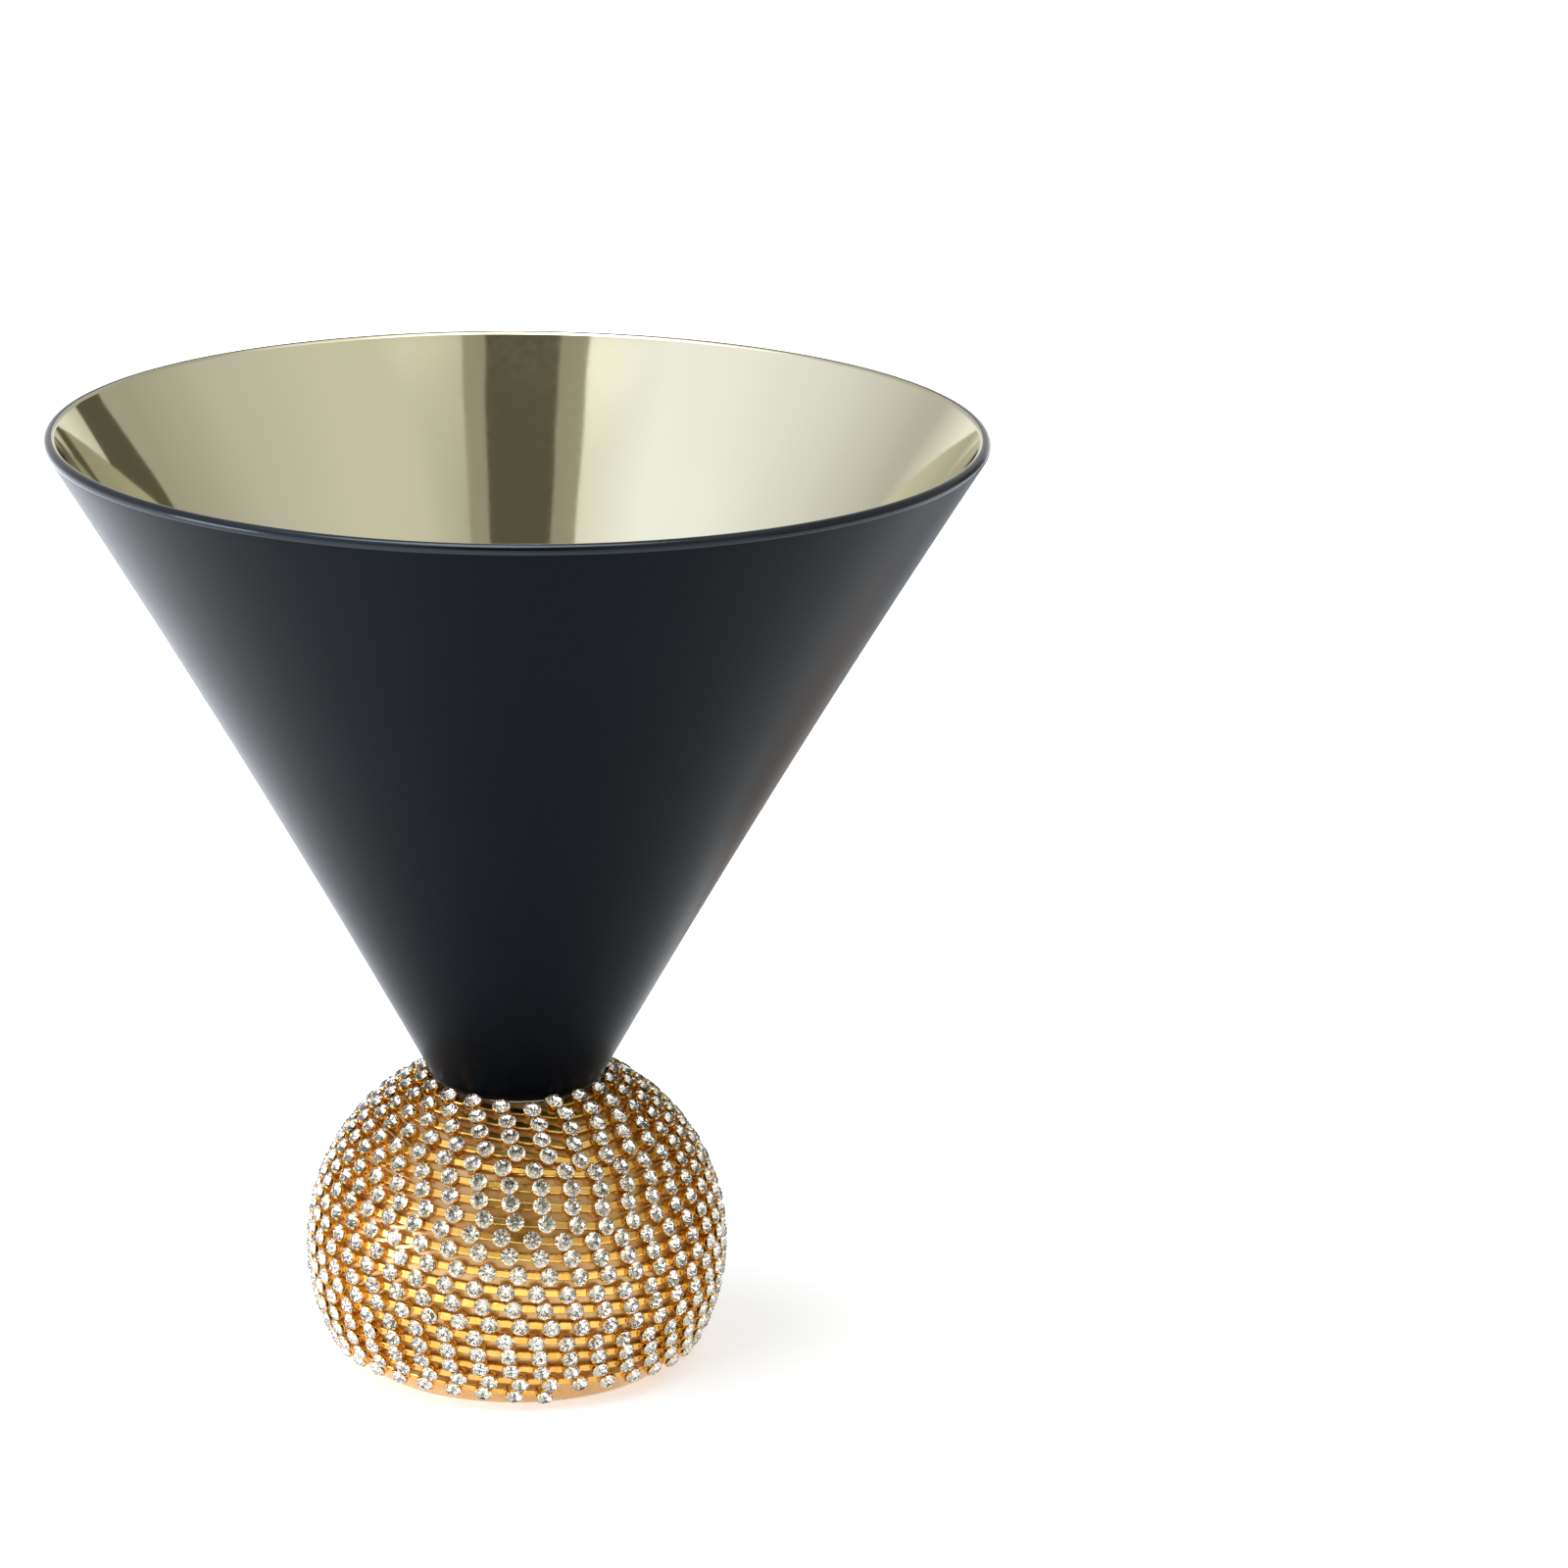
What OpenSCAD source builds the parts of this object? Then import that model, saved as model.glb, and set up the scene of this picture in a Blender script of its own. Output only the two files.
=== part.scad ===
// Cone-shaped martini glass on a glass ball that is wound with rhinestone cup chain.
// Millimetres, +Z up, origin at the centre of the resting face.

/* [Bowl] */
// Height of the whole glass, resting face to lip
height = 118.2; // [110:0.1:126]
// Outer diameter of the lip
rim_d = 114; // [106:0.5:122]
// Outer diameter of the bowl at its neck, just above the chain's first turn
neck_d = 22.1; // [21.7:0.1:22.5]
// Height of the neck above the resting face
neck_z = 37.1; // [36.9:0.1:38]
// Growth of the bowl's radius per unit of height, at the neck
neck_slope = 0.537; // [0.5:0.001:0.56]
// Growth of the bowl's radius per unit of height, at the lip
rim_slope = 0.613; // [0.59:0.001:0.68]
// Thickness of the wall at the lip, coat and lining included
lip_t = 1.5; // [1.2:0.1:2.4]
// Thickness of the wall at the neck, coat and lining included
neck_t = 3.6; // [2.6:0.1:4.2]
// Radius of the curve that turns the outer wall in to the foot
foot_curve = 5; // [4:0.1:5.6]
// Where the rounded well starts, as a share of the wall's length up from the neck
well_share = 0.13; // [0.11:0.01:0.2]
// Thickness of the black coat and of the gold lining
film_t = 0.12; // [0.08:0.01:0.2]
// Angle around the lip's round, from the outside, at which black gives way to gold
lip_split = 108; // [60:1:130]

/* [Ball] */
// Diameter of the gold-coated ball at its widest
ball_d = 49.4; // [48:0.1:50.5]
// Vertical diameter that the ball would have without its two ground flats
ball_tall = 47.5; // [46.5:0.1:48]
// Height of the ball's widest circle above the resting face
ball_z = 14; // [13:0.1:14.5]
// Thickness of the gold coat on the ball
ball_coat_t = 0.1; // [0.06:0.01:0.2]
// Thickness of the clear adhesive between the ball and the bowl's foot
bond_t = 0.25; // [0.1:0.05:0.4]

/* [Cup chain] */
// Distance from one crystal to the next along the chain
link_pitch = 3.813; // [3.6:0.001:4.1]
// Least distance between the crystals of neighbouring turns
turn_gap = 2.3; // [2.25:0.01:2.5]
// Level of the first turn on the ball, as the angle of the ball's ellipse above its widest circle
first_level = 62.5; // [58:0.1:62.8]
// Drop from one turn to the next, in the same angle
turn_drop = 4.97; // [4.9:0.01:5]
// Number of turns, the last one not quite whole
turns = 18.97; // [12:0.01:18.97]
// Compass angle at which the chain starts, from the front towards the right
start_angle = 25; // [0:1:60]
// Compass angle of the seam, where each turn steps down to the next
seam_angle = 13.4; // [-20:0.1:40]
// Width of the seam
seam_width = 92.6; // [60:0.1:120]
// How far the hand-laid chain wanders up and down, in the ball's ellipse angle
wander = 0.22; // [0:0.01:0.3]
// Diameter of a crystal at its girdle
crystal_d = 2.2; // [1.8:0.01:2.2]
// Height of a crystal's table above the ball
crystal_h = 1.74; // [1.5:0.01:1.9]
// Outer diameter of a cup at its mouth
cup_d = 2.27; // [2:0.01:2.27]
// Height of a cup's mouth above the ball
cup_h = 1.2; // [1:0.01:1.2]
// Thickness of a cup's metal
cup_t = 0.11; // [0.08:0.01:0.14]
// Width of the bar that links two cups
link_w = 1.0; // [0.4:0.01:1.1]
// Thickness of the bar that links two cups
link_t = 0.3; // [0.15:0.01:0.35]

/* [Hidden] */
$fn = 96;

// --- names -----------------------------------------------------------------------------------
turn_count = ceil(turns);
turns_per_link_node = 2;
link_node_count = ceil(turn_count / turns_per_link_node);
function two_digits(n) = str(n < 10 ? "0" : "", n);
function crystals_name(n) = str("crystals_turn_", two_digits(n));
function cups_name(n) = str("cups_turn_", two_digits(n));
function links_name(n) = str("links_band_", two_digits(n));

// --- the bowl's wall -------------------------------------------------------------------------
lip_r = lip_t / 2;
lip_lean = atan(rim_slope);
neck_lean = atan(neck_slope);
lip_centre = [rim_d / 2 - lip_r, height - lip_r];
wall_bottom = [neck_d / 2, neck_z];
wall_top = lip_centre + lip_r * [cos(lip_lean), -sin(lip_lean)];
wall_rise = wall_top[1] - wall_bottom[1];
// Height above the neck at which the tangents of the wall's two ends cross
bend_rise = (wall_top[0] - wall_bottom[0] - rim_slope * wall_rise) / (neck_slope - rim_slope);
wall_bend = wall_bottom + bend_rise * [neck_slope, 1];
wall_steps = 24;
lip_steps = 16;
curve_steps = 10;

// A point of the outer face, for a share s from 0 at the neck to 1 at the lip
function wall_point(s) =
    (1 - s) * (1 - s) * wall_bottom + 2 * s * (1 - s) * wall_bend + s * s * wall_top;
function wall_lean(s) =
    let (run = (1 - s) * (wall_bend - wall_bottom) + s * (wall_top - wall_bend)) atan(run[0] / run[1]);
function wall_inward(s) = [-cos(wall_lean(s)), sin(wall_lean(s))];
function wall_t(s) = lip_t + (neck_t - lip_t) * (1 - s);
// The faces of the wall, from share s0 up to the lip: a depth below the outer face or above the inner one
function outer_face(s0, depth) =
    [for (i = [0:wall_steps])
        let (s = s0 + (1 - s0) * i / wall_steps) wall_point(s) + depth * wall_inward(s)];
function inner_face(s0, depth) =
    [for (i = [0:wall_steps])
        let (s = s0 + (1 - s0) * i / wall_steps) wall_point(s) + (wall_t(s) - depth) * wall_inward(s)];
function reversed(points) = [for (i = [len(points) - 1:-1:0]) points[i]];
function arc(centre, r, from, to, steps) =
    [for (i = [0:steps]) let (a = from + (to - from) * i / steps) centre + r * [cos(a), sin(a)]];

// The foot: the outer wall turns in on an arc until it meets the level of the ball's top flat
foot_centre = wall_bottom - foot_curve * [cos(neck_lean), -sin(neck_lean)];
ball_a = ball_d / 2;
ball_c = ball_tall / 2;
function ball_r_at(z) = ball_a * sqrt(1 - pow((z - ball_z) / ball_c, 2));
// The ball's top flat lies where the ball is as wide as the bowl's foot
foot_r = 10.15;
bond_r = 9.7;
ball_top = ball_z + ball_c * sqrt(1 - pow(foot_r / ball_a, 2));
foot_z = ball_top + bond_t;
function foot_angle(r) = asin((foot_z - foot_centre[1]) / r);
function foot_arc(r) = arc(foot_centre, r, foot_angle(r), -neck_lean, curve_steps);

// The well: a round bottom, tangent to the inner face
function well_arc(depth) =
    let (
        edge = wall_point(well_share) + (wall_t(well_share) - depth) * wall_inward(well_share),
        lean = wall_lean(well_share),
        r = edge[0] / cos(lean),
        centre = [0, edge[1] + edge[0] * tan(lean)]
    ) arc(centre, r, -90, -lean, curve_steps);

module bowl_glass()
    color("lightcyan")
    rotate_extrude() polygon(concat(
        [[0, foot_z]],
        foot_arc(foot_curve - film_t),
        outer_face(0, film_t),
        arc(lip_centre, lip_r - film_t, -lip_lean, 180 - lip_lean, lip_steps),
        reversed(inner_face(well_share, film_t)),
        reversed(well_arc(film_t))
    ));

module outer_coat()
    color([0.09, 0.10, 0.12])
    rotate_extrude() polygon(concat(
        foot_arc(foot_curve),
        outer_face(0, 0),
        arc(lip_centre, lip_r, -lip_lean, lip_split, lip_steps),
        arc(lip_centre, lip_r - film_t, lip_split, -lip_lean, lip_steps),
        reversed(outer_face(0, film_t)),
        reversed(foot_arc(foot_curve - film_t))
    ));

module inner_lining()
    color([0.80, 0.76, 0.58])
    rotate_extrude() polygon(concat(
        well_arc(film_t),
        inner_face(well_share, film_t),
        arc(lip_centre, lip_r - film_t, 180 - lip_lean, lip_split, lip_steps),
        arc(lip_centre, lip_r, lip_split, 180 - lip_lean, lip_steps),
        reversed(inner_face(well_share, 0)),
        reversed(well_arc(0))
    ));

// --- the ball --------------------------------------------------------------------------------
ball_steps = 40;
// The ball's outline between its two flats, for semi-axes a and c
function ball_face(a, c) =
    let (low = asin(-ball_z / c), high = asin((ball_top - ball_z) / c))
    [for (i = [0:ball_steps])
        let (t = low + (high - low) * i / ball_steps) [a * cos(t), ball_z + c * sin(t)]];

module foot_bond()
    color([0.9, 0.95, 1, 0.5])
    translate([0, 0, ball_top]) cylinder(h = bond_t, r = bond_r);

module ball_glass()
    color("lightcyan")
    rotate_extrude() polygon(concat(
        [[0, 0]],
        ball_face(ball_a - ball_coat_t, ball_c - ball_coat_t),
        [[0, ball_top]]
    ));

module ball_coat()
    color([0.73, 0.57, 0.33])
    rotate_extrude() polygon(concat(
        ball_face(ball_a, ball_c),
        reversed(ball_face(ball_a - ball_coat_t, ball_c - ball_coat_t))
    ));

// --- heights of a crystal in its cup ---------------------------------------------------------
// The pavilion ends a little above the cup's mouth, and the girdle above that
girdle_lift = 0.02;
girdle_t = 0.08;
seat_gap = 0.001;
table_share = 0.58;
pavilion_top = cup_h + girdle_lift;

// --- the winding -----------------------------------------------------------------------------
// A place is [compass angle along the winding, level]: the level is the angle of the ball's ellipse.
girdle_h = pavilion_top + girdle_t;
girdle_a = ball_a + girdle_h;
girdle_c = ball_c + girdle_h;
// Length of one degree of level, at the girdles
function degree_length(t) = sqrt(pow(girdle_a * sin(t), 2) + pow(girdle_c * cos(t), 2)) * PI / 180;
function ring_r(t) = girdle_a * cos(t);
function smooth(x) = let (y = min(max(x, 0), 1)) y * y * (3 - 2 * y);
// The chain wanders in two waves: degrees of each wave per degree of winding
quick_wave = 1.7;
quick_wave_start = 40;
slow_wave = 0.83;
// Level that the chain is laid at: flat round the back and sides, stepping down at the seam
function laid_level(w) =
    let (
        passed = round((w - seam_angle) / 360),
        past_seam = w - seam_angle - 360 * passed,
        step = smooth(past_seam / seam_width + 0.5),
        sway = wander * (sin(quick_wave * w + quick_wave_start) + sin(slow_wave * w)) / 2
    ) first_level - turn_drop * (passed + step - 1) + sway;
// Most cups that one turn can hold, and fewest, with some to spare
spare_cups = 2;
most_per_turn = ceil(2 * PI * girdle_a / link_pitch) + spare_cups;
fewest_per_turn = floor(2 * PI * ring_r(first_level) / link_pitch) - spare_cups;
// Level at which a cup at angle w clears every cup of the turn above it
function clear_level(w, t, placed) =
    let (
        n = len(placed),
        hits = [
            for (j = [max(0, n - most_per_turn):1:n - fewest_per_turn])
                let (
                    mean_r = sqrt(ring_r(t) * ring_r(placed[j][1])),
                    side = 2 * mean_r * sin((w - 360 - placed[j][0]) / 2)
                )
                if (abs(side) < turn_gap)
                    placed[j][1] - sqrt(turn_gap * turn_gap - side * side) / degree_length(t)
        ]
    ) min(concat([t], hits));
function next_place(placed) =
    let (
        last = placed[len(placed) - 1],
        w = last[0] + 2 * asin(link_pitch / 2 / ring_r(last[1])),
        t = min(first_level, laid_level(w))
    ) [w, clear_level(w, t, placed)];
first_place = [start_angle, first_level];
last_angle = start_angle + 360 * turns;
function wound(places) =
    let (place = next_place(places)) place[0] > last_angle ? places : wound(concat(places, [place]));
places = wound([first_place]);
function turn_of(place) = floor((place[0] - start_angle) / 360) + 1;

// Lean of the ball's outward normal above the horizontal, at level t
function normal_lean(t) = atan2(sin(t) / ball_c, cos(t) / ball_a);
// Point a height h above the ball at a place
function at_place(place, h) =
    let (
        lean = normal_lean(place[1]),
        r = ball_a * cos(place[1]) + h * cos(lean),
        z = ball_z + ball_c * sin(place[1]) + h * sin(lean)
    ) [r * sin(place[0]), -r * cos(place[0]), z];
// Stands its children on the ball: +Z outward, +X along the chain
module stand_at(place)
    translate(at_place(place, 0))
    rotate([90 - normal_lean(place[1]), 0, place[0]])
    children();

// --- one crystal, one cup, one link ----------------------------------------------------------
cup_foot_r = 0.96;
crystal_r = crystal_d / 2;
table_r = crystal_r * table_share;
culet_h = 0.25;
culet_r = 0.06;
// The cup's mouth is cut to the crystal's pavilion, with a hair between them
cup_mouth_r = crystal_r * (cup_h - culet_h) / (pavilion_top - culet_h) + seat_gap;

module crystal()
    rotate_extrude() polygon([
        [0, culet_h],
        [culet_r, culet_h],
        [crystal_r, pavilion_top],
        [crystal_r, pavilion_top + girdle_t],
        [table_r, crystal_h],
        [0, crystal_h]
    ]);

module cup()
    rotate_extrude() polygon([
        [0, 0],
        [cup_foot_r, 0],
        [cup_d / 2, cup_h],
        [cup_mouth_r, cup_h],
        [cup_foot_r - cup_t, cup_t],
        [0, cup_t]
    ]);

link_h = 0.45;
link_clearance = 0.03;
link_reach = cup_foot_r + (cup_d / 2 - cup_foot_r) * (link_h + link_t) / cup_h + link_clearance;
module link(from, to)
    let (
        start = at_place(from, link_h),
        end = at_place(to, link_h),
        run = end - start,
        long = norm(run),
        mid_angle = (from[0] + to[0]) / 2,
        mid_lean = normal_lean((from[1] + to[1]) / 2),
        dip = asin(run[2] / long / cos(mid_lean))
    )
    translate((start + end) / 2)
    rotate([90 - mid_lean, 0, mid_angle])
    rotate([0, 0, dip])
    translate([-long / 2 + link_reach, -link_w / 2, 0])
    cube([long - 2 * link_reach, link_w, link_t]);

module crystals_turn(n)
    color([0.93, 0.95, 0.97])
    for (place = places) if (turn_of(place) == n) stand_at(place) crystal();

module cups_turn(n)
    color([0.83, 0.60, 0.20])
    for (place = places) if (turn_of(place) == n) stand_at(place) cup();

module links_band(n)
    color([0.85, 0.64, 0.26])
    for (i = [0:len(places) - 2])
        if (ceil(turn_of(places[i]) / turns_per_link_node) == n) link(places[i], places[i + 1]);

// --- what is drawn ---------------------------------------------------------------------------
bowl_glass();
outer_coat();
inner_lining();
foot_bond();
ball_glass();
ball_coat();
for (n = [1:turn_count]) crystals_turn(n);
for (n = [1:turn_count]) cups_turn(n);
for (n = [1:link_node_count]) links_band(n);
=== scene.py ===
"""Looks of the black and gold martini glass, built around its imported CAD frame. Metres, +Z up."""
import math
import random

import bpy
import numpy as np
from mathutils import Matrix, Vector


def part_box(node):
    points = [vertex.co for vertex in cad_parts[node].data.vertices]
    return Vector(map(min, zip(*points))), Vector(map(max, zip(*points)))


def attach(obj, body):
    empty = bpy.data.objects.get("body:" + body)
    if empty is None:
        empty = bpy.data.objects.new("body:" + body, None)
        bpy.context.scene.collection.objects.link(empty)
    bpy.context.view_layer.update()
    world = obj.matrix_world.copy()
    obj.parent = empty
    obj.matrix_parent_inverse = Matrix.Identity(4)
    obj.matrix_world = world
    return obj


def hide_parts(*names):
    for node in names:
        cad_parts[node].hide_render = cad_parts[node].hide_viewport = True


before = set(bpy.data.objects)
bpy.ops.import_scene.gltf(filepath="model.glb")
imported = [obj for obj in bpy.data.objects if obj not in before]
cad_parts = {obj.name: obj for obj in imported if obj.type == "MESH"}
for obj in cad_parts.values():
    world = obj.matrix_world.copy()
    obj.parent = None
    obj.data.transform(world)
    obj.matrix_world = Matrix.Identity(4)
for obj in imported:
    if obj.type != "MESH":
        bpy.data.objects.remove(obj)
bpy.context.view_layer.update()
MM = 0.001

# --- sizes of the design, in millimetres, as the CAD has them -----------------------------------
LIP_T = 1.5
NECK_T = 3.6
NECK_R = 11.05
NECK_Z = 37.1
NECK_SLOPE = 0.537
RIM_SLOPE = 0.613
FOOT_CURVE = 5
WELL_SHARE = 0.13
FILM_T = 0.12
LIP_SPLIT = math.radians(108)
START_ANGLE = 25
CUP_H = 1.2
CUP_FOOT_R = 0.96
CUP_MOUTH_R = 1.135
CRYSTAL_R = 1.1
CRYSTAL_H = 1.74
GIRDLE_H = 1.22
GIRDLE_T = 0.08
CULET_H = 0.25
TABLE_SHARE = 0.58
STAR_SHARE = 0.80
PAVILION_SHARE = 0.24
LINK_H = 0.45
LINK_W = 1.0
LINK_T = 0.3
BALL_COAT_T = 0.1

# --- numbers of the mesh and of the chain -------------------------------------------------------
BALL_SEGMENTS = 240
CUP_SIDES = 32
CUP_BASE_R = 0.80
CUP_BASE_H = 0.07
CUP_FLOOR_R = 0.70
CUP_FLOOR_H = 0.14
CUP_WALL_T = 0.085
LIP_BEAD_H = 1.2
STONE_SEED = 7
STONE_TILT = 1.6

coat_low, coat_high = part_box("outer_coat")
RIM_R = coat_high[0] / MM
HEIGHT = coat_high[2] / MM
FOOT_Z = coat_low[2] / MM
ball_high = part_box("ball_coat")[1]
BALL_A = ball_high[0] / MM
BALL_TOP = ball_high[2] / MM


# --- mesh helpers -------------------------------------------------------------------------------
def new_piece(name, verts, faces, materials, face_slots=None, smooth=True):
    """A mesh object from points in millimetres."""
    mesh = bpy.data.meshes.new(name)
    mesh.from_pydata([tuple(c * MM for c in v) for v in verts], [], faces)
    for material in materials:
        mesh.materials.append(material)
    if face_slots is not None:
        mesh.polygons.foreach_set("material_index", face_slots)
    mesh.polygons.foreach_set("use_smooth", [smooth] * len(faces))
    mesh.update()
    piece = bpy.data.objects.new(name, mesh)
    bpy.context.scene.collection.objects.link(piece)
    return piece


def revolve(profile, segments):
    """Verts and faces of a closed profile [(r, z), ...] turned about Z. A point on the axis is one vert."""
    verts, rings = [], []
    for r, z in profile:
        if r < 1e-6:
            rings.append([len(verts)])
            verts.append((0, 0, z))
            continue
        rings.append(list(range(len(verts), len(verts) + segments)))
        for i in range(segments):
            a = 2 * math.pi * i / segments
            verts.append((r * math.cos(a), r * math.sin(a), z))
    faces = []
    for low, high in zip(rings, rings[1:] + rings[:1]):
        if len(low) == 1 and len(high) == 1:
            continue
        for i in range(segments):
            j = (i + 1) % segments
            if len(low) == 1:
                faces.append((low[0], high[j], high[i]))
            elif len(high) == 1:
                faces.append((low[i], low[j], high[0]))
            else:
                faces.append((low[i], low[j], high[j], high[i]))
    return verts, faces


def arc(centre, r, start, end, steps):
    angles = [start + (end - start) * i / steps for i in range(steps + 1)]
    return [(centre[0] + r * math.cos(a), centre[1] + r * math.sin(a)) for a in angles]


# --- the bowl's wall, as the CAD draws it ---------------------------------------------------------
lip_r = LIP_T / 2
lip_lean = math.atan(RIM_SLOPE)
neck_lean = math.atan(NECK_SLOPE)
lip_centre = (RIM_R - lip_r, HEIGHT - lip_r)
wall_bottom = (NECK_R, NECK_Z)
wall_top = (lip_centre[0] + lip_r * math.cos(lip_lean), lip_centre[1] - lip_r * math.sin(lip_lean))
bend_rise = (wall_top[0] - NECK_R - RIM_SLOPE * (wall_top[1] - NECK_Z)) / (NECK_SLOPE - RIM_SLOPE)
wall_bend = (NECK_R + bend_rise * NECK_SLOPE, NECK_Z + bend_rise)
foot_centre = (NECK_R - FOOT_CURVE * math.cos(neck_lean), NECK_Z + FOOT_CURVE * math.sin(neck_lean))


def wall(s, depth):
    """The point a depth below the outer face, a share s of the way from neck to lip, and the lean there."""
    q = 1 - s
    p = [q * q * a + 2 * s * q * b + s * s * c for a, b, c in zip(wall_bottom, wall_bend, wall_top)]
    run = [q * (b - a) + s * (c - b) for a, b, c in zip(wall_bottom, wall_bend, wall_top)]
    lean = math.atan2(run[0], run[1])
    return (p[0] - depth * math.cos(lean), p[1] + depth * math.sin(lean)), lean


def face(depth_at, start, steps):
    shares = [start + (1 - start) * i / steps for i in range(steps + 1)]
    return [wall(s, depth_at(s))[0] for s in shares]


def wall_t(s):
    return LIP_T + (NECK_T - LIP_T) * (1 - s)


def foot_arc(r, steps):
    start = math.asin((FOOT_Z - foot_centre[1]) / r)
    return arc(foot_centre, r, start, -neck_lean, steps)


def well_arc(depth, steps):
    (r, z), lean = wall(WELL_SHARE, wall_t(WELL_SHARE) - depth)
    return arc((0, z + r * math.tan(lean)), r / math.cos(lean), -math.pi / 2, -lean, steps)


WALL_STEPS = 60
LIP_STEPS = 28
CURVE_STEPS = 16
ROUND = 360


def coat_profile():
    return (
        foot_arc(FOOT_CURVE, CURVE_STEPS)
        + face(lambda s: 0, 0, WALL_STEPS)[1:]
        + arc(lip_centre, lip_r, -lip_lean, LIP_SPLIT, LIP_STEPS)[1:]
        + arc(lip_centre, lip_r - FILM_T, LIP_SPLIT, -lip_lean, LIP_STEPS)
        + face(lambda s: FILM_T, 0, WALL_STEPS)[-2::-1]
        + foot_arc(FOOT_CURVE - FILM_T, CURVE_STEPS)[-2::-1]
    )


def lining_profile():
    return (
        well_arc(FILM_T, CURVE_STEPS)
        + face(lambda s: wall_t(s) - FILM_T, WELL_SHARE, WALL_STEPS)[1:]
        + arc(lip_centre, lip_r - FILM_T, math.pi - lip_lean, LIP_SPLIT, LIP_STEPS)[1:]
        + arc(lip_centre, lip_r, LIP_SPLIT, math.pi - lip_lean, LIP_STEPS)
        + face(lambda s: wall_t(s), WELL_SHARE, WALL_STEPS)[-2::-1]
        + well_arc(0, CURVE_STEPS)[-2::-1]
    )


def glass_profile():
    return (
        [(0, FOOT_Z)]
        + foot_arc(FOOT_CURVE - FILM_T, CURVE_STEPS)
        + face(lambda s: FILM_T, 0, WALL_STEPS)[1:]
        + arc(lip_centre, lip_r - FILM_T, -lip_lean, math.pi - lip_lean, LIP_STEPS)[1:]
        + face(lambda s: wall_t(s) - FILM_T, WELL_SHARE, WALL_STEPS)[-2::-1]
        + well_arc(FILM_T, CURVE_STEPS)[-2::-1]
    )


# --- the ball -------------------------------------------------------------------------------------
def ball_shape():
    """Height of the ball's widest circle and its vertical semi-axis, read off the CAD coat's rings."""
    points = np.array([v.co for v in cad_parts["ball_coat"].data.vertices]) / MM
    r = np.hypot(points[:, 0], points[:, 1])
    outer_top = r[points[:, 2] > BALL_TOP - 0.01].max()
    outer_base = r[points[:, 2] < 0.01].max()
    rise_top = math.sqrt(1 - (outer_top / BALL_A) ** 2)
    rise_base = math.sqrt(1 - (outer_base / BALL_A) ** 2)
    c = BALL_TOP / (rise_top + rise_base)
    return c * rise_base, c


BALL_Z, BALL_C = ball_shape()
BALL_STEPS = 72


def ball_profile(inset):
    a, c = BALL_A - inset, BALL_C - inset
    low, high = math.asin(-BALL_Z / c), math.asin((BALL_TOP - BALL_Z) / c)
    levels = [low + (high - low) * i / BALL_STEPS for i in range(BALL_STEPS + 1)]
    return [(a * math.cos(t), BALL_Z + c * math.sin(t)) for t in levels]


# --- places along the chain -----------------------------------------------------------------------
def island_centres(node):
    """Centre of each loose piece of a CAD node, in millimetres."""
    mesh = node.data
    mesh.calc_loop_triangles()
    points = np.empty(len(mesh.vertices) * 3)
    mesh.vertices.foreach_get("co", points)
    points = points.reshape(-1, 3) / MM
    tris = np.empty(len(mesh.loop_triangles) * 3, dtype=np.int64)
    mesh.loop_triangles.foreach_get("vertices", tris)
    tris = tris.reshape(-1, 3)
    spots, spot_of = np.unique(np.round(points, 4), axis=0, return_inverse=True)
    tris = spot_of.ravel()[tris]
    label = np.arange(len(spots))
    while True:
        least = label[tris].min(axis=1)
        before = label.copy()
        for corner in range(3):
            np.minimum.at(label, tris[:, corner], least)
        label = label[label]
        if (label == before).all():
            break
    return [spots[label == k].mean(axis=0) for k in np.unique(label)]


def ball_place(point):
    """The ball's point under a cup, and the outward normal there."""
    around = math.atan2(point[0], -point[1])
    r, z = math.hypot(point[0], point[1]), point[2] - BALL_Z
    t = math.atan2(z / BALL_C, r / BALL_A)
    for _ in range(6):
        lean = math.atan2(math.sin(t) / BALL_C, math.cos(t) / BALL_A)
        off = (r - BALL_A * math.cos(t)) * -math.sin(lean) + (z - BALL_C * math.sin(t)) * math.cos(lean)
        t += off / BALL_A
    out = Vector((math.cos(lean) * math.sin(around), -math.cos(lean) * math.cos(around), math.sin(lean)))
    ring = BALL_A * math.cos(t)
    foot = Vector((ring * math.sin(around), -ring * math.cos(around), BALL_Z + BALL_C * math.sin(t)))
    return foot, out


def chain_places():
    """For each turn, the cups in order: (foot, outward normal, direction along the chain)."""
    turns = []
    names = sorted(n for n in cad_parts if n.startswith("cups_turn_"))
    for name in names:
        centres = island_centres(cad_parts[name])
        angle = [(math.degrees(math.atan2(c[0], -c[1])) - START_ANGLE + 0.01) % 360 for c in centres]
        turns.append([ball_place(centres[i]) for i in np.argsort(angle)])
    whole = [place for turn in turns for place in turn]
    result, k = [], 0
    for turn in turns:
        cups = []
        for foot, out in turn:
            ahead, behind = whole[min(k + 1, len(whole) - 1)][0], whole[max(k - 1, 0)][0]
            along = (ahead - behind) - out * (ahead - behind).dot(out)
            cups.append((foot, out, along.normalized()))
            k += 1
        result.append(cups)
    return result


def frame_at(foot, out, along):
    across = out.cross(along)
    return Matrix((
        (along[0], across[0], out[0], foot[0]),
        (along[1], across[1], out[1], foot[1]),
        (along[2], across[2], out[2], foot[2]),
        (0, 0, 0, 1),
    ))


# --- one crystal, one cup, one link -----------------------------------------------------------------
def polar(r, degrees, z):
    a = math.radians(degrees)
    return (r * math.cos(a), r * math.sin(a), z)


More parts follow.
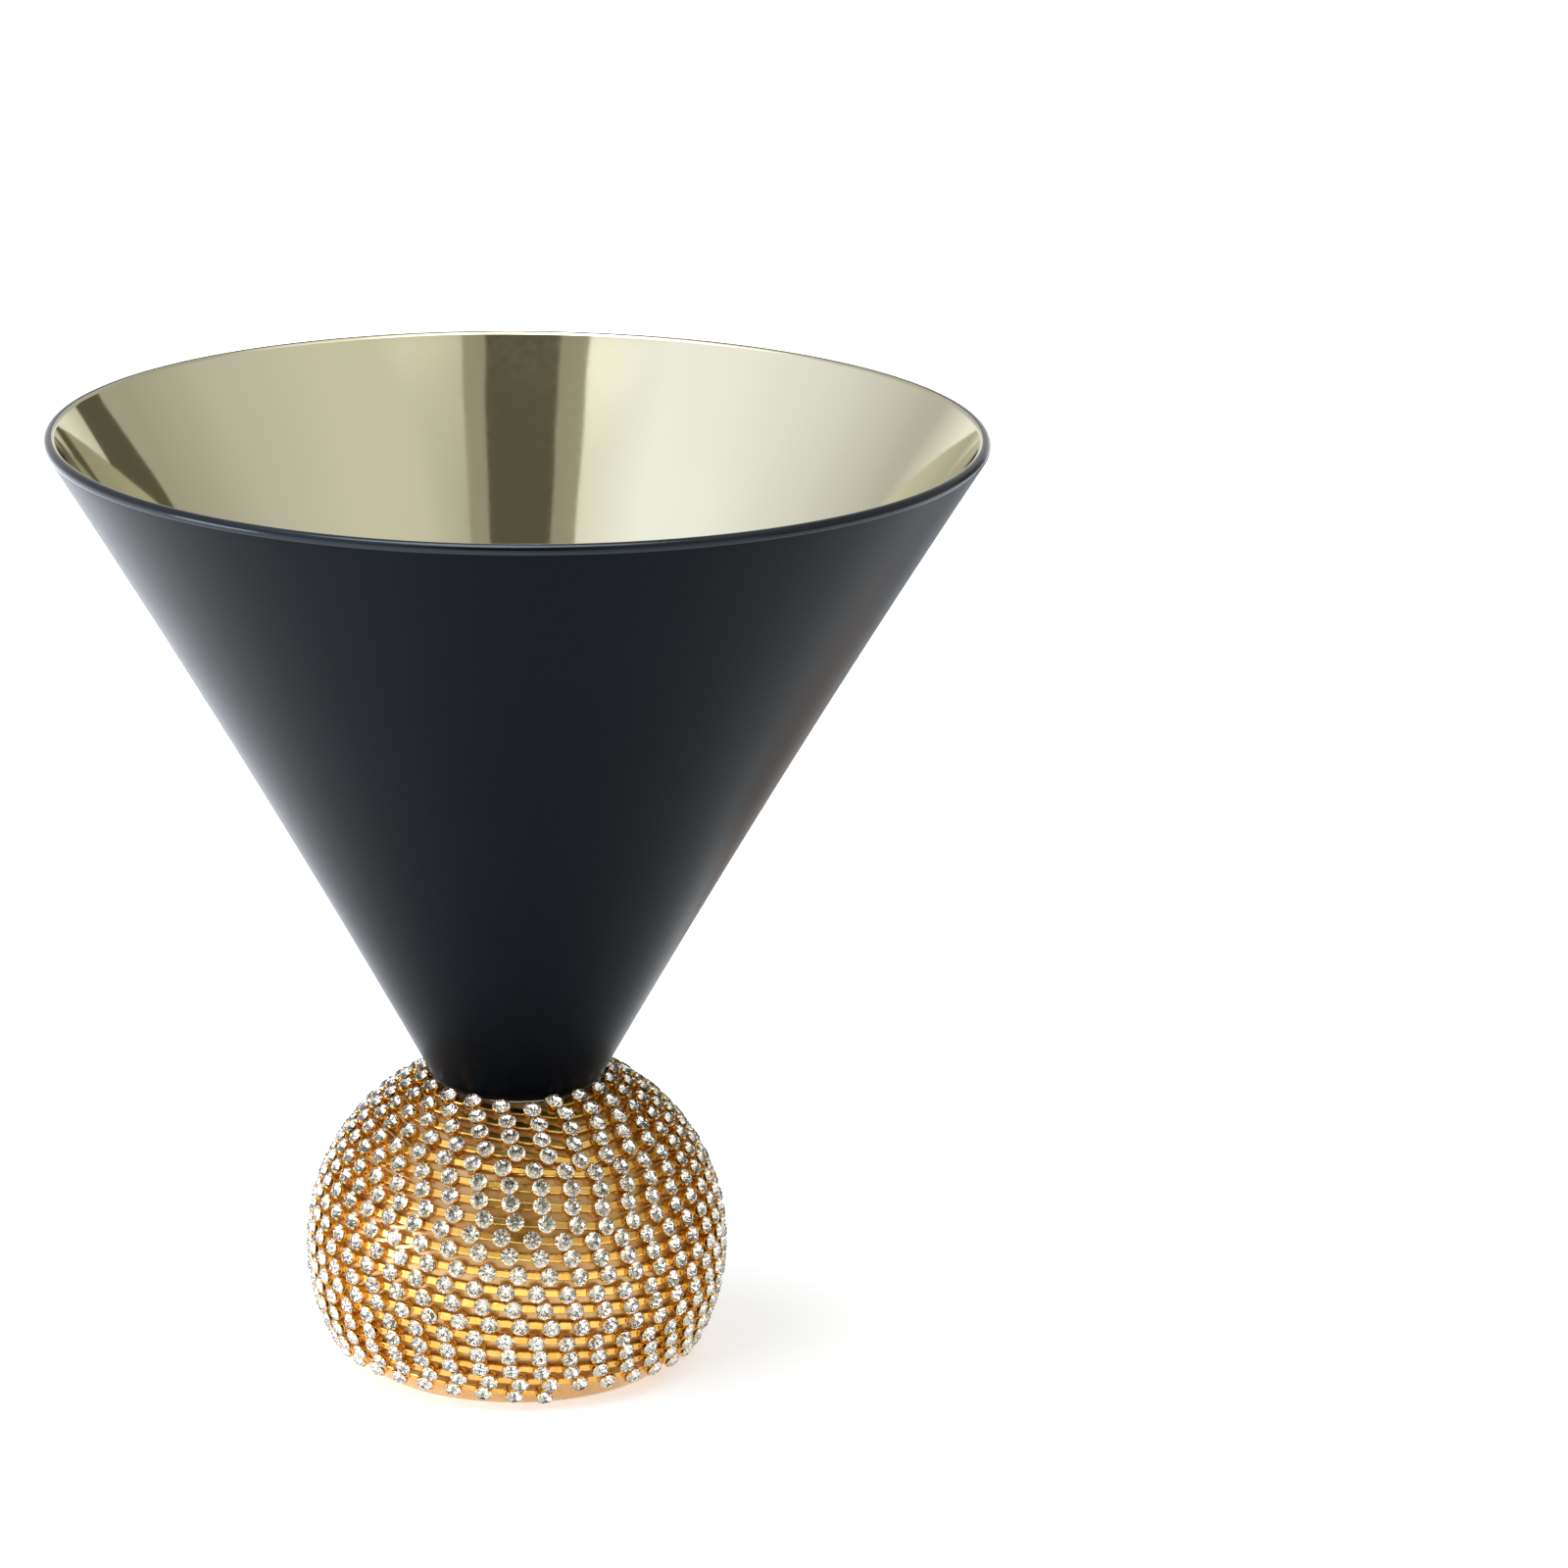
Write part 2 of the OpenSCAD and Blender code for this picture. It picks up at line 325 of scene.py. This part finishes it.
def crystal_mesh():
    """A round brilliant with eight mains. Slot 0 is the bare crown and slot 1 the foiled pavilion."""
    table_r = TABLE_SHARE * CRYSTAL_R
    star_r = STAR_SHARE * CRYSTAL_R
    pavilion_r = PAVILION_SHARE * CRYSTAL_R
    top_z, low_z = GIRDLE_H + GIRDLE_T, GIRDLE_H
    crown_drop = (CRYSTAL_H - top_z) / (CRYSTAL_R - table_r)
    half = math.cos(math.radians(22.5))
    star_z = CRYSTAL_H - crown_drop * (star_r * half - table_r)
    pavilion_z = CULET_H + (low_z - CULET_H) * pavilion_r * half / CRYSTAL_R
    verts = [polar(table_r, 45 * k, CRYSTAL_H) for k in range(8)]
    verts += [polar(star_r, 45 * k + 22.5, star_z) for k in range(8)]
    verts += [polar(CRYSTAL_R, 22.5 * k, top_z) for k in range(16)]
    verts += [polar(CRYSTAL_R, 22.5 * k, low_z) for k in range(16)]
    verts += [polar(pavilion_r, 45 * k + 22.5, pavilion_z) for k in range(8)]
    verts += [(0, 0, CULET_H)]
    table, star, upper, lower, pav, culet = 0, 8, 16, 32, 48, 56
    faces, slots = [tuple(range(8))], [0]
    for k in range(8):
        n, p = (k + 1) % 8, (k - 1) % 8
        g, g1, g2 = 2 * k, 2 * k + 1, (2 * k + 2) % 16
        faces += [(table + k, star + k, table + n), (table + k, star + p, upper + g, star + k)]
        faces += [(star + k, upper + g, upper + g1), (star + k, upper + g1, upper + g2)]
        slots += [0] * 4
        faces += [(upper + g, lower + g, lower + g1, upper + g1)]
        faces += [(upper + g1, lower + g1, lower + g2, upper + g2)]
        faces += [(culet, pav + k, lower + g, pav + p)]
        faces += [(pav + k, lower + g1, lower + g), (pav + k, lower + g2, lower + g1)]
        slots += [1] * 5
    return verts, faces, slots


def cup_mesh():
    """A round cup with a scalloped mouth and four claws that bend over the crystal."""
    verts, faces, rings = [], [], []

    def mouth(a):
        return 0.90 + 0.30 * math.sin(2 * a) ** 4

    def outer_r(z):
        return CUP_FOOT_R + (CUP_MOUTH_R - CUP_FOOT_R) * z / CUP_H

    # A level is a radius and a height, or, where it rises with the mouth, shares of wall and rise
    levels = [(CUP_BASE_R, 0.0, False), (0.925, 0.01, False), (outer_r(CUP_BASE_H), CUP_BASE_H, False)]
    levels += [(0, 0.5, True), (0, 0.97, True), (-0.35, 1.0, True)]
    levels += [(-1.0, 0.97, True), (-1.0, 0.3, True)]
    levels += [(CUP_FLOOR_R, CUP_FLOOR_H, False)]
    for r, share, rises in levels:
        ring = []
        for i in range(CUP_SIDES):
            a = 2 * math.pi * i / CUP_SIDES
            z = CUP_BASE_H + (mouth(a) - CUP_BASE_H) * share if rises else share
            radius = outer_r(z) + r * CUP_WALL_T if rises else r
            ring.append(len(verts))
            verts.append((radius * math.cos(a), radius * math.sin(a), z))
        rings.append(ring)
    for low, high in zip(rings, rings[1:]):
        for i in range(CUP_SIDES):
            j = (i + 1) % CUP_SIDES
            faces.append((low[i], low[j], high[j], high[i]))
    faces.append(tuple(reversed(rings[0])))
    faces.append(tuple(rings[-1]))
    # Claws stand at 45 degrees to the chain: a claw's middle line, widths and thicknesses, from root to tip
    path = [(1.062, 0.62), (1.095, 0.95), (1.128, 1.18), (1.125, 1.33)]
    path += [(1.05, 1.435), (0.95, 1.525), (0.87, 1.58)]
    widths = [0.46, 0.44, 0.42, 0.40, 0.36, 0.29, 0.15]
    thick = [0.09, 0.09, 0.08, 0.10, 0.11, 0.10, 0.05]
    section = [(-1, -1), (-1, 0.2), (-0.72, 0.8), (-0.3, 1), (0.3, 1), (0.72, 0.8), (1, 0.2), (1, -1)]
    for claw in range(4):
        a = math.radians(45 + 90 * claw)
        out, side = (math.cos(a), math.sin(a)), (-math.sin(a), math.cos(a))
        loops = []
        for k, ((r, z), w, t) in enumerate(zip(path, widths, thick)):
            before, after = path[max(k - 1, 0)], path[min(k + 1, len(path) - 1)]
            run = (after[0] - before[0], after[1] - before[1])
            size = math.hypot(*run)
            nr, nz = run[1] / size, -run[0] / size
            loop = []
            for sw, st in section:
                sink = (sw * w / 2) ** 2 / (2 * r)
                rr, zz, s = r + nr * st * t / 2 - sink, z + nz * st * t / 2, sw * w / 2
                loop.append(len(verts))
                verts.append((out[0] * rr + side[0] * s, out[1] * rr + side[1] * s, zz))
            loops.append(loop)
        count = len(loops[0])
        for low, high in zip(loops, loops[1:]):
            for i in range(count):
                j = (i + 1) % count
                faces.append((low[j], low[i], high[i], high[j]))
        faces.append(tuple(loops[0]))
        faces.append(tuple(reversed(loops[-1])))
    return verts, faces


def link_bar(start, end, out):
    """A flat bar with rounded edges from cup to cup, its ends inside the cups' walls."""
    run = end - start
    long = run.length
    along = run / long
    across = out.cross(along).normalized()
    lift = along.cross(across)
    left = [(-0.8, -1), (-1, -0.6), (-1, 0.4), (-0.86, 0.85), (-0.6, 1)]
    outline = left[1:] + [(-x, z) for x, z in reversed(left)] + left[:1]
    section = [(x * LINK_W / 2, z * LINK_T / 2) for x, z in outline]
    stations = [(CUP_FOOT_R * 0.9, 0.86), (CUP_FOOT_R + 0.16, 0.86), (CUP_FOOT_R + 0.26, 1.0)]
    stations += [(long - s, w) for s, w in reversed(stations)]
    verts, faces = [], []
    for x, w in stations:
        for sx, sz in section:
            verts.append(start + along * x + across * (sx * w) + lift * (sz + LINK_T / 2))
    n = len(section)
    for k in range(len(stations) - 1):
        for i in range(n):
            j = (i + 1) % n
            faces.append((k * n + j, k * n + i, (k + 1) * n + i, (k + 1) * n + j))
    faces.append(tuple(range(n)))
    faces.append(tuple(reversed(range(len(verts) - n, len(verts)))))
    return verts, faces


def gather(parts):
    """Joins [(verts, faces), ...] into one list of each."""
    verts, faces = [], []
    for part_verts, part_faces in parts:
        base = len(verts)
        verts += part_verts
        faces += [tuple(base + i for i in f) for f in part_faces]
    return verts, faces


# --- materials --------------------------------------------------------------------------------------
def new_material(name):
    material = bpy.data.materials.new(name)
    material.use_nodes = True
    nodes = material.node_tree.nodes
    return material, nodes, material.node_tree.links, nodes["Principled BSDF"]


def noise(nodes, links, scale, detail=2.0, roughness=0.5, distortion=0.0):
    """A noise texture in object space. scale is per metre."""
    coords = nodes.new("ShaderNodeTexCoord")
    texture = nodes.new("ShaderNodeTexNoise")
    texture.inputs["Scale"].default_value = scale
    texture.inputs["Detail"].default_value = detail
    texture.inputs["Roughness"].default_value = roughness
    texture.inputs["Distortion"].default_value = distortion
    links.new(coords.outputs["Object"], texture.inputs["Vector"])
    return texture.outputs["Fac"]


def remap(nodes, links, value, low, high, from_low=0.3, from_high=0.7):
    node = nodes.new("ShaderNodeMapRange")
    node.inputs["From Min"].default_value = from_low
    node.inputs["From Max"].default_value = from_high
    node.inputs["To Min"].default_value = low
    node.inputs["To Max"].default_value = high
    links.new(value, node.inputs["Value"])
    return node.outputs["Result"]


def blend_colours(nodes, links, value, dark, light):
    ramp = nodes.new("ShaderNodeValToRGB")
    ramp.color_ramp.elements[0].position, ramp.color_ramp.elements[1].position = 0.3, 0.7
    ramp.color_ramp.elements[0].color, ramp.color_ramp.elements[1].color = (*dark, 1), (*light, 1)
    links.new(value, ramp.inputs["Fac"])
    return ramp.outputs["Color"]


def bump(nodes, links, height, distance, shader, strength=1.0):
    node = nodes.new("ShaderNodeBump")
    node.inputs["Distance"].default_value = distance
    node.inputs["Strength"].default_value = strength
    links.new(height, node.inputs["Height"])
    links.new(node.outputs["Normal"], shader.inputs["Normal"])


def black_coat_material(name, roughness, specular):
    material, nodes, links, shader = new_material(name)
    grain = noise(nodes, links, 2600, detail=3)
    cloud = noise(nodes, links, 60, detail=3)
    colour = blend_colours(nodes, links, cloud, (0.0002, 0.0010, 0.0024), (0.0006, 0.0018, 0.0036))
    links.new(colour, shader.inputs["Base Color"])
    links.new(remap(nodes, links, cloud, roughness, roughness + 0.04), shader.inputs["Roughness"])
    shader.inputs["IOR"].default_value = 1.45
    shader.inputs["Specular IOR Level"].default_value = specular
    shader.inputs["Specular Tint"].default_value = (0.78, 0.90, 1.0, 1.0)
    shader.inputs["Sheen Weight"].default_value = 0.5
    shader.inputs["Sheen Roughness"].default_value = 0.24
    shader.inputs["Sheen Tint"].default_value = (0.80, 0.88, 1.0, 1.0)
    bump(nodes, links, grain, 0.000008, shader)
    return material


def gold_mirror_material():
    material, nodes, links, shader = new_material("pale_gold_mirror")
    ripple = noise(nodes, links, 38, detail=1, distortion=0.4)
    cloud = noise(nodes, links, 900, detail=2)
    colour = blend_colours(nodes, links, ripple, (0.77, 0.735, 0.53), (0.80, 0.77, 0.56))
    links.new(colour, shader.inputs["Base Color"])
    links.new(remap(nodes, links, cloud, 0.05, 0.075), shader.inputs["Roughness"])
    shader.inputs["Metallic"].default_value = 1.0
    bump(nodes, links, ripple, 0.00012, shader)
    return material


def ball_gold_material():
    material, nodes, links, shader = new_material("gold_lacquer_on_ball")
    cloud = noise(nodes, links, 420, detail=4)
    colour = blend_colours(nodes, links, cloud, (0.64, 0.36, 0.10), (0.75, 0.46, 0.155))
    links.new(colour, shader.inputs["Base Color"])
    links.new(remap(nodes, links, cloud, 0.22, 0.32), shader.inputs["Roughness"])
    shader.inputs["Metallic"].default_value = 0.45
    shader.inputs["Coat Weight"].default_value = 0.8
    shader.inputs["Coat Roughness"].default_value = 0.05
    shader.inputs["Coat IOR"].default_value = 1.5
    return material


def gold_metal_material():
    material, nodes, links, shader = new_material("bright_gold_plate")
    cloud = noise(nodes, links, 700, detail=3)
    fine = noise(nodes, links, 9000, detail=2)
    colour = blend_colours(nodes, links, cloud, (0.80, 0.44, 0.085), (0.92, 0.57, 0.16))
    links.new(colour, shader.inputs["Base Color"])
    links.new(remap(nodes, links, cloud, 0.16, 0.28), shader.inputs["Roughness"])
    shader.inputs["Metallic"].default_value = 1.0
    bump(nodes, links, fine, 0.000006, shader)
    return material


def crystal_material():
    material, nodes, links, shader = new_material("cut_crystal")
    cloud = noise(nodes, links, 300, detail=1)
    colour = blend_colours(nodes, links, cloud, (0.99, 0.99, 0.985), (1.0, 1.0, 1.0))
    links.new(colour, shader.inputs["Base Color"])
    links.new(remap(nodes, links, cloud, 0.0, 0.01), shader.inputs["Roughness"])
    shader.inputs["IOR"].default_value = 1.56
    shader.inputs["Transmission Weight"].default_value = 1.0
    return material


def foil_material():
    material, nodes, links, shader = new_material("silver_foil")
    cloud = noise(nodes, links, 800, detail=2)
    colour = blend_colours(nodes, links, cloud, (0.95, 0.93, 0.88), (1.0, 0.98, 0.94))
    links.new(colour, shader.inputs["Base Color"])
    links.new(remap(nodes, links, cloud, 0.02, 0.06), shader.inputs["Roughness"])
    shader.inputs["Metallic"].default_value = 1.0
    return material


def clear_glass_material(name, tint, roughness):
    material, nodes, links, shader = new_material(name)
    cloud = noise(nodes, links, 90, detail=1)
    colour = blend_colours(nodes, links, cloud, tint, tuple(min(1, c * 1.03) for c in tint))
    links.new(colour, shader.inputs["Base Color"])
    links.new(remap(nodes, links, cloud, roughness, roughness + 0.02), shader.inputs["Roughness"])
    shader.inputs["IOR"].default_value = 1.5
    shader.inputs["Transmission Weight"].default_value = 1.0
    return material


def floor_material():
    material, nodes, links, shader = new_material("pale_floor")
    cloud = noise(nodes, links, 3, detail=2)
    colour = blend_colours(nodes, links, cloud, (0.90, 0.90, 0.90), (0.93, 0.93, 0.93))
    links.new(colour, shader.inputs["Base Color"])
    shader.inputs["Roughness"].default_value = 0.9
    shader.inputs["Specular IOR Level"].default_value = 0.1
    # Painted light: the floor itself glows, strongest on the left and fading to the right, which lightens
    # its shadows and what the glass reflects of it
    coords = nodes.new("ShaderNodeTexCoord")
    split = nodes.new("ShaderNodeSeparateXYZ")
    links.new(coords.outputs["Object"], split.inputs["Vector"])
    painted_glow = remap(nodes, links, split.outputs["X"], 1.0, 0.0, -0.3, 0.3)
    painted_glow_colour = blend_colours(nodes, links, painted_glow, (0.22, 0.22, 0.22), (0.92, 0.95, 1))
    links.new(painted_glow_colour, shader.inputs["Emission Color"])
    shader.inputs["Emission Strength"].default_value = 0.9
    return material


# --- camera, floor and lights -------------------------------------------------------------------------
def make_camera():
    camera = bpy.data.cameras.new("camera")
    camera.lens = 135
    camera.sensor_width = 36
    camera.clip_start = 0.02
    camera.clip_end = 20
    holder = bpy.data.objects.new("camera", camera)
    pitch, roll = math.radians(16.548), math.radians(0.89)
    holder.matrix_world = (
        Matrix.Translation((0.032686, -0.692404, 0.279812))
        @ Matrix.Rotation(math.pi / 2 - pitch, 4, "X")
        @ Matrix.Rotation(roll, 4, "Z")
    )
    bpy.context.scene.collection.objects.link(holder)
    bpy.context.scene.camera = holder


def make_floor():
    sides = 96
    radius = 4000
    verts = [(0, 0, 0)] + [polar(radius, 360 * i / sides, 0) for i in range(sides)]
    faces = [(0, 1 + i, 1 + (i + 1) % sides) for i in range(sides)]
    floor = new_piece("floor", verts, faces, [floor_material()], smooth=False)


def softbox(name, place, aim, width, height, brightness, colour=(1, 1, 1)):
    """A rectangular light. Its brightness is what a mirror shows, on a scale where paper white is 1."""
    light = bpy.data.lights.new(name, "AREA")
    light.shape = "RECTANGLE"
    light.size, light.size_y = width, height
    light.energy = brightness * math.pi * width * height
    light.color = colour
    holder = bpy.data.objects.new(name, light)
    holder.location = place
    holder.rotation_euler = (Vector(aim) - Vector(place)).to_track_quat("-Z", "Y").to_euler()
    bpy.context.scene.collection.objects.link(holder)


# Colour of the tent by compass angle from the front, in degrees, left negative
TENT_ROUND = [
    (-180, (0.40, 0.40, 0.39)),
    (-134, (0.45, 0.45, 0.45)),
    (-104, (0.65, 0.67, 0.75)),
    (-70, (0.81, 0.83, 0.95)),
    (-48, (0.83, 0.86, 1.0)),
    (-26, (0.70, 0.71, 0.72)),
    (24, (0.40, 0.40, 0.36)),
    (42, (0.53, 0.53, 0.49)),
    (66, (0.54, 0.54, 0.50)),
    (100, (0.46, 0.46, 0.45)),
    (130, (0.33, 0.33, 0.29)),
    (180, (0.40, 0.40, 0.39)),
]
# How the tent's light changes from straight down, 0, to straight up, 1
TENT_UP = [(0.40, 1.0), (0.54, 1.0), (0.62, 0.56), (0.88, 0.56), (0.92, 1.0)]
TENT_STRENGTH = 2.3
CARDS_CENTRE_H = 80
FAR_CARD = 1150
NEAR_CARD = 130


def colour_ramp(nodes, links, value, stops):
    ramp = nodes.new("ShaderNodeValToRGB")
    while len(ramp.color_ramp.elements) < len(stops):
        ramp.color_ramp.elements.new(0.5)
    for element, (position, colour) in zip(ramp.color_ramp.elements, stops):
        element.position, element.color = position, (*colour, 1)
    links.new(value, ramp.inputs["Fac"])
    return ramp.outputs["Color"]


def make_world():
    world = bpy.data.worlds.new("studio")
    world.use_nodes = True
    nodes, links = world.node_tree.nodes, world.node_tree.links
    # A white tent, brightest on the left and near the table
    coords = nodes.new("ShaderNodeTexCoord")
    split = nodes.new("ShaderNodeSeparateXYZ")
    links.new(coords.outputs["Generated"], split.inputs["Vector"])
    back = nodes.new("ShaderNodeMath")
    back.operation = "MULTIPLY"
    back.inputs[1].default_value = -1
    links.new(split.outputs["Y"], back.inputs[0])
    angle = nodes.new("ShaderNodeMath")
    angle.operation = "ARCTAN2"
    links.new(split.outputs["X"], angle.inputs[0])
    links.new(back.outputs["Value"], angle.inputs[1])
    compass = remap(nodes, links, angle.outputs["Value"], 0, 1, -math.pi, math.pi)
    height = remap(nodes, links, split.outputs["Z"], 0, 1, -1, 1)
    both = nodes.new("ShaderNodeVectorMath")
    both.operation = "MULTIPLY"
    around = [((degrees + 180) / 360, colour) for degrees, colour in TENT_ROUND]
    upward = [(share, (grey, grey, grey)) for share, grey in TENT_UP]
    links.new(colour_ramp(nodes, links, compass, around), both.inputs[0])
    links.new(colour_ramp(nodes, links, height, upward), both.inputs[1])
    links.new(both.outputs["Vector"], nodes["Background"].inputs["Color"])
    nodes["Background"].inputs["Strength"].default_value = TENT_STRENGTH
    bpy.context.scene.world = world
    bpy.context.scene.view_settings.view_transform = "Standard"


def flag_material(name, colour):
    material, nodes, links, shader = new_material(name)
    cloud = noise(nodes, links, 40, detail=3)
    dim = tuple(0.9 * c for c in colour)
    shader.inputs["Base Color"].default_value = (0, 0, 0, 1)
    links.new(blend_colours(nodes, links, cloud, dim, colour), shader.inputs["Emission Color"])
    shader.inputs["Emission Strength"].default_value = 1
    shader.inputs["Roughness"].default_value = 0.95
    shader.inputs["Specular IOR Level"].default_value = 0.0
    return material


def make_flag(name, left, right, low, high, distance, material):
    """A card bent round the glass, between two compass angles from the front and two elevations."""
    columns, rows = 12, 8
    verts, faces = [], []
    for j in range(rows + 1):
        up = math.radians(low + (high - low) * j / rows)
        for i in range(columns + 1):
            around = math.radians(left + (right - left) * i / columns)
            verts.append((
                distance * math.cos(up) * math.sin(around),
                -distance * math.cos(up) * math.cos(around),
                CARDS_CENTRE_H + distance * math.sin(up),
            ))
    for j in range(rows):
        for i in range(columns):
            k = j * (columns + 1) + i
            faces.append((k, k + 1, k + columns + 2, k + columns + 1))
    card = new_piece(name, verts, faces, [material], smooth=True)
    card.visible_camera = False
    return card


make_camera()
make_floor()
make_world()
black_flag = flag_material("black_flag", (0.118, 0.110, 0.077))
grey_flag = flag_material("grey_flag", (0.38, 0.37, 0.32))
make_flag("front_flag", -12, 15.5, 14, 58, FAR_CARD, black_flag)
make_flag("front_flag_left_wing", -22.5, -12, 20, 58, FAR_CARD, grey_flag)
make_flag("front_flag_right_wing", 15.5, 24, 20, 58, FAR_CARD, grey_flag)
make_flag("side_flag", 131, 153, -5, 18.5, FAR_CARD, black_flag)
make_flag("right_low_flag", 62, 131, -4, 11, FAR_CARD, grey_flag)
# Two near cards show only in reflections, where a second glass stands behind on the right
amber_card = flag_material("amber_card", (0.42, 0.24, 0.09))
low_card = make_flag("side_card_low", 126, 166, -36, -18, NEAR_CARD, amber_card)
high_card = make_flag("side_card_high", 126, 166, -18, 8, NEAR_CARD, black_flag)
for card in (low_card, high_card):
    card.visible_shadow = False
    card.visible_diffuse = False
softbox("low_left_box", (-1.16, -0.38, 0.17), (0, 0, 0.02), 0.5, 0.34, 8.0)
softbox("top_box", (-0.1, -0.1, 1.7), (0, 0, 0.05), 1.1, 1.1, 5.0)

# --- the pieces -----------------------------------------------------------------------------------------
black_coat = black_coat_material("satin_black_lacquer", 0.30, 0.07)
lip_coat = black_coat_material("glossy_black_lip", 0.13, 0.5)
gold_mirror = gold_mirror_material()
ball_gold = ball_gold_material()
gold_metal = gold_metal_material()
crystal_glass = crystal_material()
foil = foil_material()
clear_glass = clear_glass_material("clear_glass", (0.95, 0.97, 0.965), 0.0)
clear_bond = clear_glass_material("clear_adhesive", (0.93, 0.93, 0.9), 0.04)


def stands_for(piece, slot_name, *nodes):
    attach(piece, "root")
    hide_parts(*nodes)


coat_verts, coat_faces = revolve(coat_profile(), ROUND)
on_lip = [int(min(coat_verts[i][2] for i in corners) > HEIGHT - LIP_BEAD_H) for corners in coat_faces]
piece = new_piece("coat_outside", coat_verts, coat_faces, [black_coat, lip_coat], on_lip)
stands_for(piece, "black_coat", "outer_coat")
piece = new_piece("lining_inside", *revolve(lining_profile(), ROUND), [gold_mirror])
stands_for(piece, "gold_mirror", "inner_lining")
piece = new_piece("glass_wall", *revolve(glass_profile(), ROUND), [clear_glass])
stands_for(piece, "clear_glass", "bowl_glass")
ball_shell = ball_profile(0) + ball_profile(BALL_COAT_T)[::-1]
piece = new_piece("ball_shell", *revolve(ball_shell, BALL_SEGMENTS), [ball_gold])
stands_for(piece, "gold_lacquer", "ball_coat")
# The ball and the adhesive keep their CAD shapes and only take a material
for name, material in (("ball_glass", clear_glass), ("foot_bond", clear_bond)):
    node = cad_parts[name]
    node.data.materials.clear()
    node.data.materials.append(material)

turns = chain_places()
rng = random.Random(STONE_SEED)
stone = crystal_mesh()
cup = cup_mesh()
for number, turn in enumerate(turns, 1):
    crystals, cups, slots = [], [], []
    for foot, out, along in turn:
        place = frame_at(foot, out, along)
        turn_by = Matrix.Rotation(math.radians(rng.uniform(0, 45)), 4, "Z")
        tip_x = Matrix.Rotation(math.radians(rng.gauss(0, STONE_TILT)), 4, "X")
        tip_y = Matrix.Rotation(math.radians(rng.gauss(0, STONE_TILT)), 4, "Y")
        set_stone = place @ tip_x @ tip_y @ turn_by
        crystals.append(([tuple(set_stone @ Vector(v)) for v in stone[0]], stone[1]))
        cups.append(([tuple(place @ Vector(v)) for v in cup[0]], cup[1]))
        slots += stone[2]
    tag = f"{number:02d}"
    verts, faces = gather(crystals)
    piece = new_piece(f"stones_{tag}", verts, faces, [crystal_glass, foil], slots, smooth=False)
    stands_for(piece, "crystal", f"crystals_turn_{tag}")
    verts, faces = gather(cups)
    piece = new_piece(f"prong_cups_{tag}", verts, faces, [gold_metal], smooth=True)
    stands_for(piece, "gold_metal", f"cups_turn_{tag}")

whole = [place for turn in turns for place in turn]
turn_number = [number for number, turn in enumerate(turns, 1) for _ in turn]
bands = {}
for k in range(len(whole) - 1):
    (foot_a, out_a, _), (foot_b, out_b, _) = whole[k], whole[k + 1]
    bar = link_bar(foot_a + out_a * LINK_H, foot_b + out_b * LINK_H, (out_a + out_b).normalized())
    bands.setdefault((turn_number[k] + 1) // 2, []).append(bar)
for number, bars in bands.items():
    verts, faces = gather(bars)
    piece = new_piece(f"link_bars_{number:02d}", verts, faces, [gold_metal], smooth=False)
    stands_for(piece, "gold_metal", f"links_band_{number:02d}")
